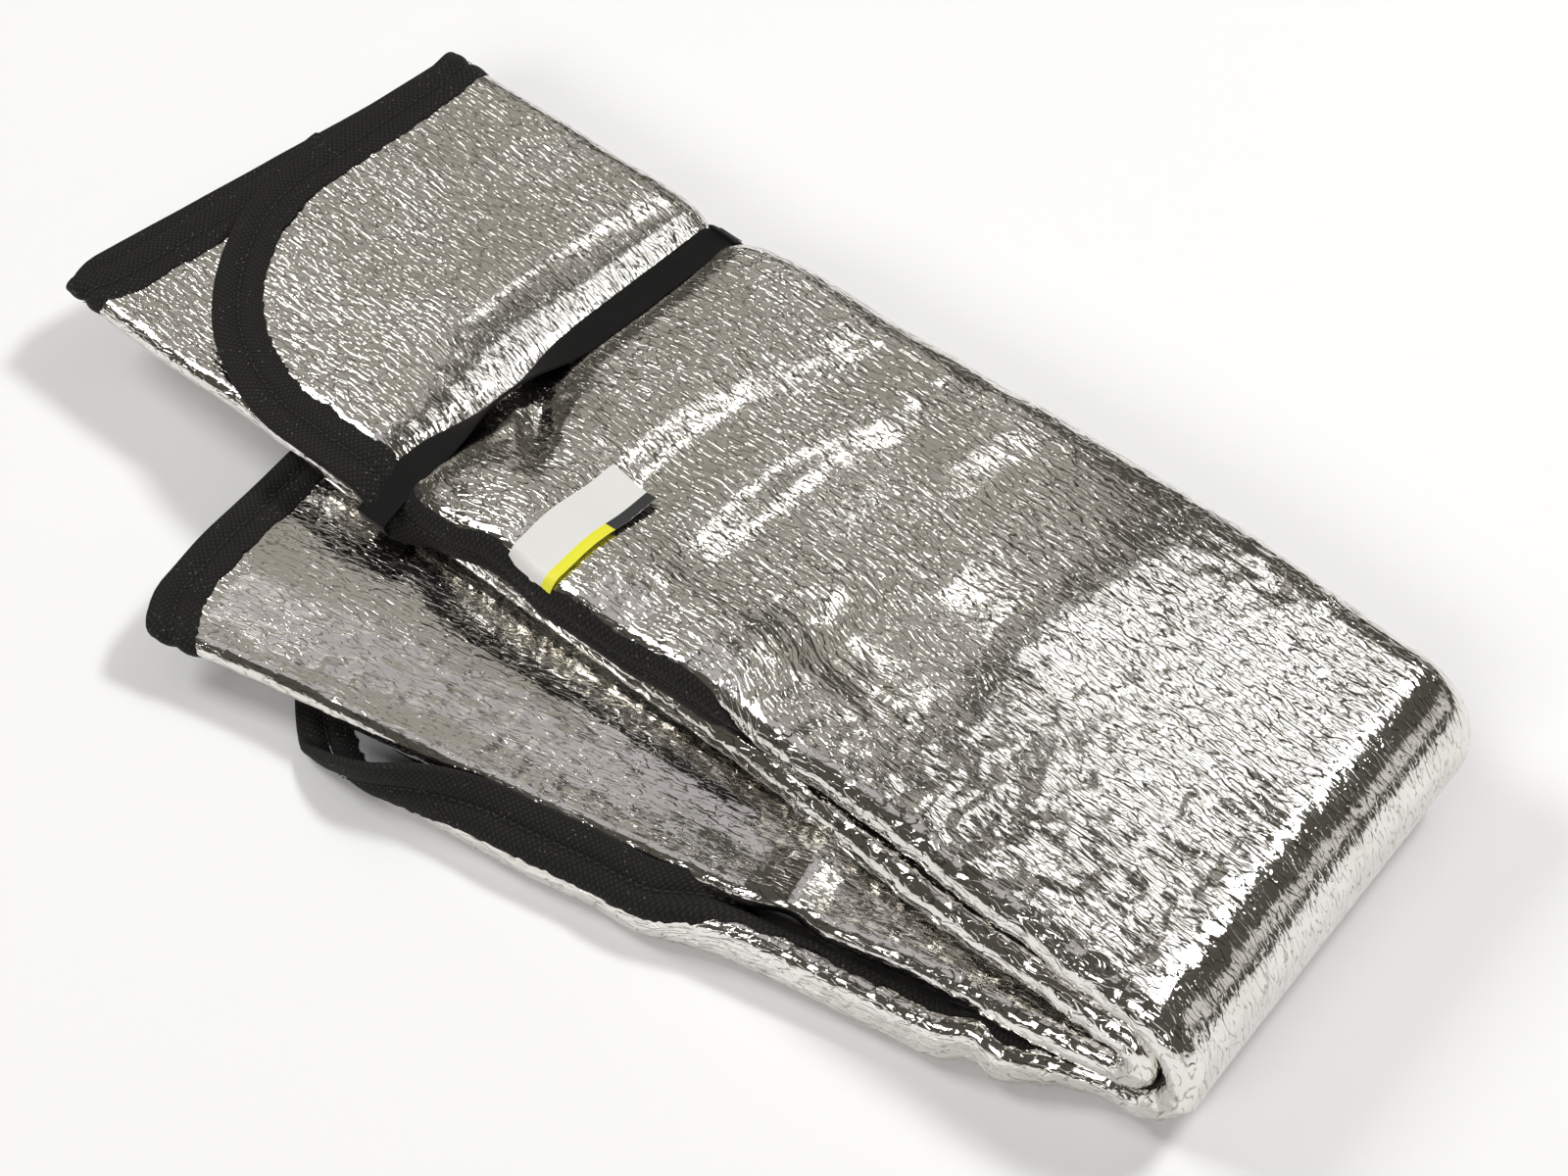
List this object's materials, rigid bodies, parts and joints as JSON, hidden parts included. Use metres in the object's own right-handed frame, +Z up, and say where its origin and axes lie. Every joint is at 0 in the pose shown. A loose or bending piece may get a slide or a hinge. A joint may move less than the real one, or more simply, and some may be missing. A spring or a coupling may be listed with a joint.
{
  "type": "folded foil-faced foam sleeping pad",
  "caption": "Foil-faced closed-cell foam pad with bound edges, folded to a strip and doubled over at one end, held by an elastic loop that slides off, with a sewn label.",
  "frame": {"origin": "on the surface it lies on, under the middle of the folded pad", "axes": "+X along the folded pad towards the fold across it, halfway between the two legs' directions; +Z up"},
  "size_m": [0.4842, 0.252, 0.0597],
  "materials": {
    "foil": "finely crinkled metallised plastic film, bright and warm grey",
    "foam": "matt pale grey closed-cell foam",
    "binding": "matt black non-woven tape with a fine dot emboss",
    "thread": "black sewing thread",
    "elastic": "black woven elastic",
    "label": "off-white satin ribbon with a yellow stripe and a black end"
  },
  "bodies": {
    "lower_leg": {"foam_q1_lower": "foam", "foam_bend_12_lower": "foam", "foam_q2_lower": "foam", "foam_bend_23_lower": "foam", "foam_q3_lower": "foam", "foam_bend_34_lower": "foam", "foam_q4_lower": "foam", "film_lower": "foil", "binding_q1_lower": "binding", "binding_rest_lower": "binding", "stitching_lower": "thread", "foam_q1_fold": "foam", "film_q1_fold": "foil", "binding_q1_fold": "binding", "foam_q2_fold": "foam", "film_q2_fold": "foil", "foam_q3_fold": "foam", "film_q3_fold": "foil", "foam_q4_fold": "foam", "film_q4_fold": "foil", "binding_q4_fold": "binding"},
    "upper_leg": {"foam_q1_upper": "foam", "foam_bend_12_upper": "foam", "foam_q2_upper": "foam", "foam_bend_23_upper": "foam", "foam_q3_upper": "foam", "foam_bend_34_upper": "foam", "foam_q4_upper": "foam", "film_upper": "foil", "binding_q1_upper": "binding", "binding_rest_upper": "binding", "stitching_upper": "thread"},
    "elastic_loop": {"elastic_band": "elastic", "elastic_lap": "elastic", "elastic_tack": "thread"},
    "label_tag": {"label": "label", "label_stitch": "thread"}
  },
  "joints": [
    {"name": "main_fold", "type": "hinge", "parent": "lower_leg", "child": "upper_leg", "pos_m": [0.21333, -0.00485, 0.02875], "axis": [0, 1, 0], "range_deg": [0, 180], "deforming": ["foam_q1_fold", "film_q1_fold", "binding_q1_fold", "foam_q2_fold", "film_q2_fold", "foam_q3_fold", "film_q3_fold", "foam_q4_fold", "film_q4_fold", "binding_q4_fold"]},
    {"name": "elastic_slide", "type": "slide", "parent": "upper_leg", "child": "elastic_loop", "axis": [-0.9941, 0.1089, 0], "range_m": [0, 0.18]},
    {"name": "label_turn", "type": "hinge", "parent": "upper_leg", "child": "label_tag", "pos_m": [-0.02053, -0.06429, 0.05475], "axis": [0.9941, -0.1089, 0], "range_deg": [0, 150]}
  ]
}
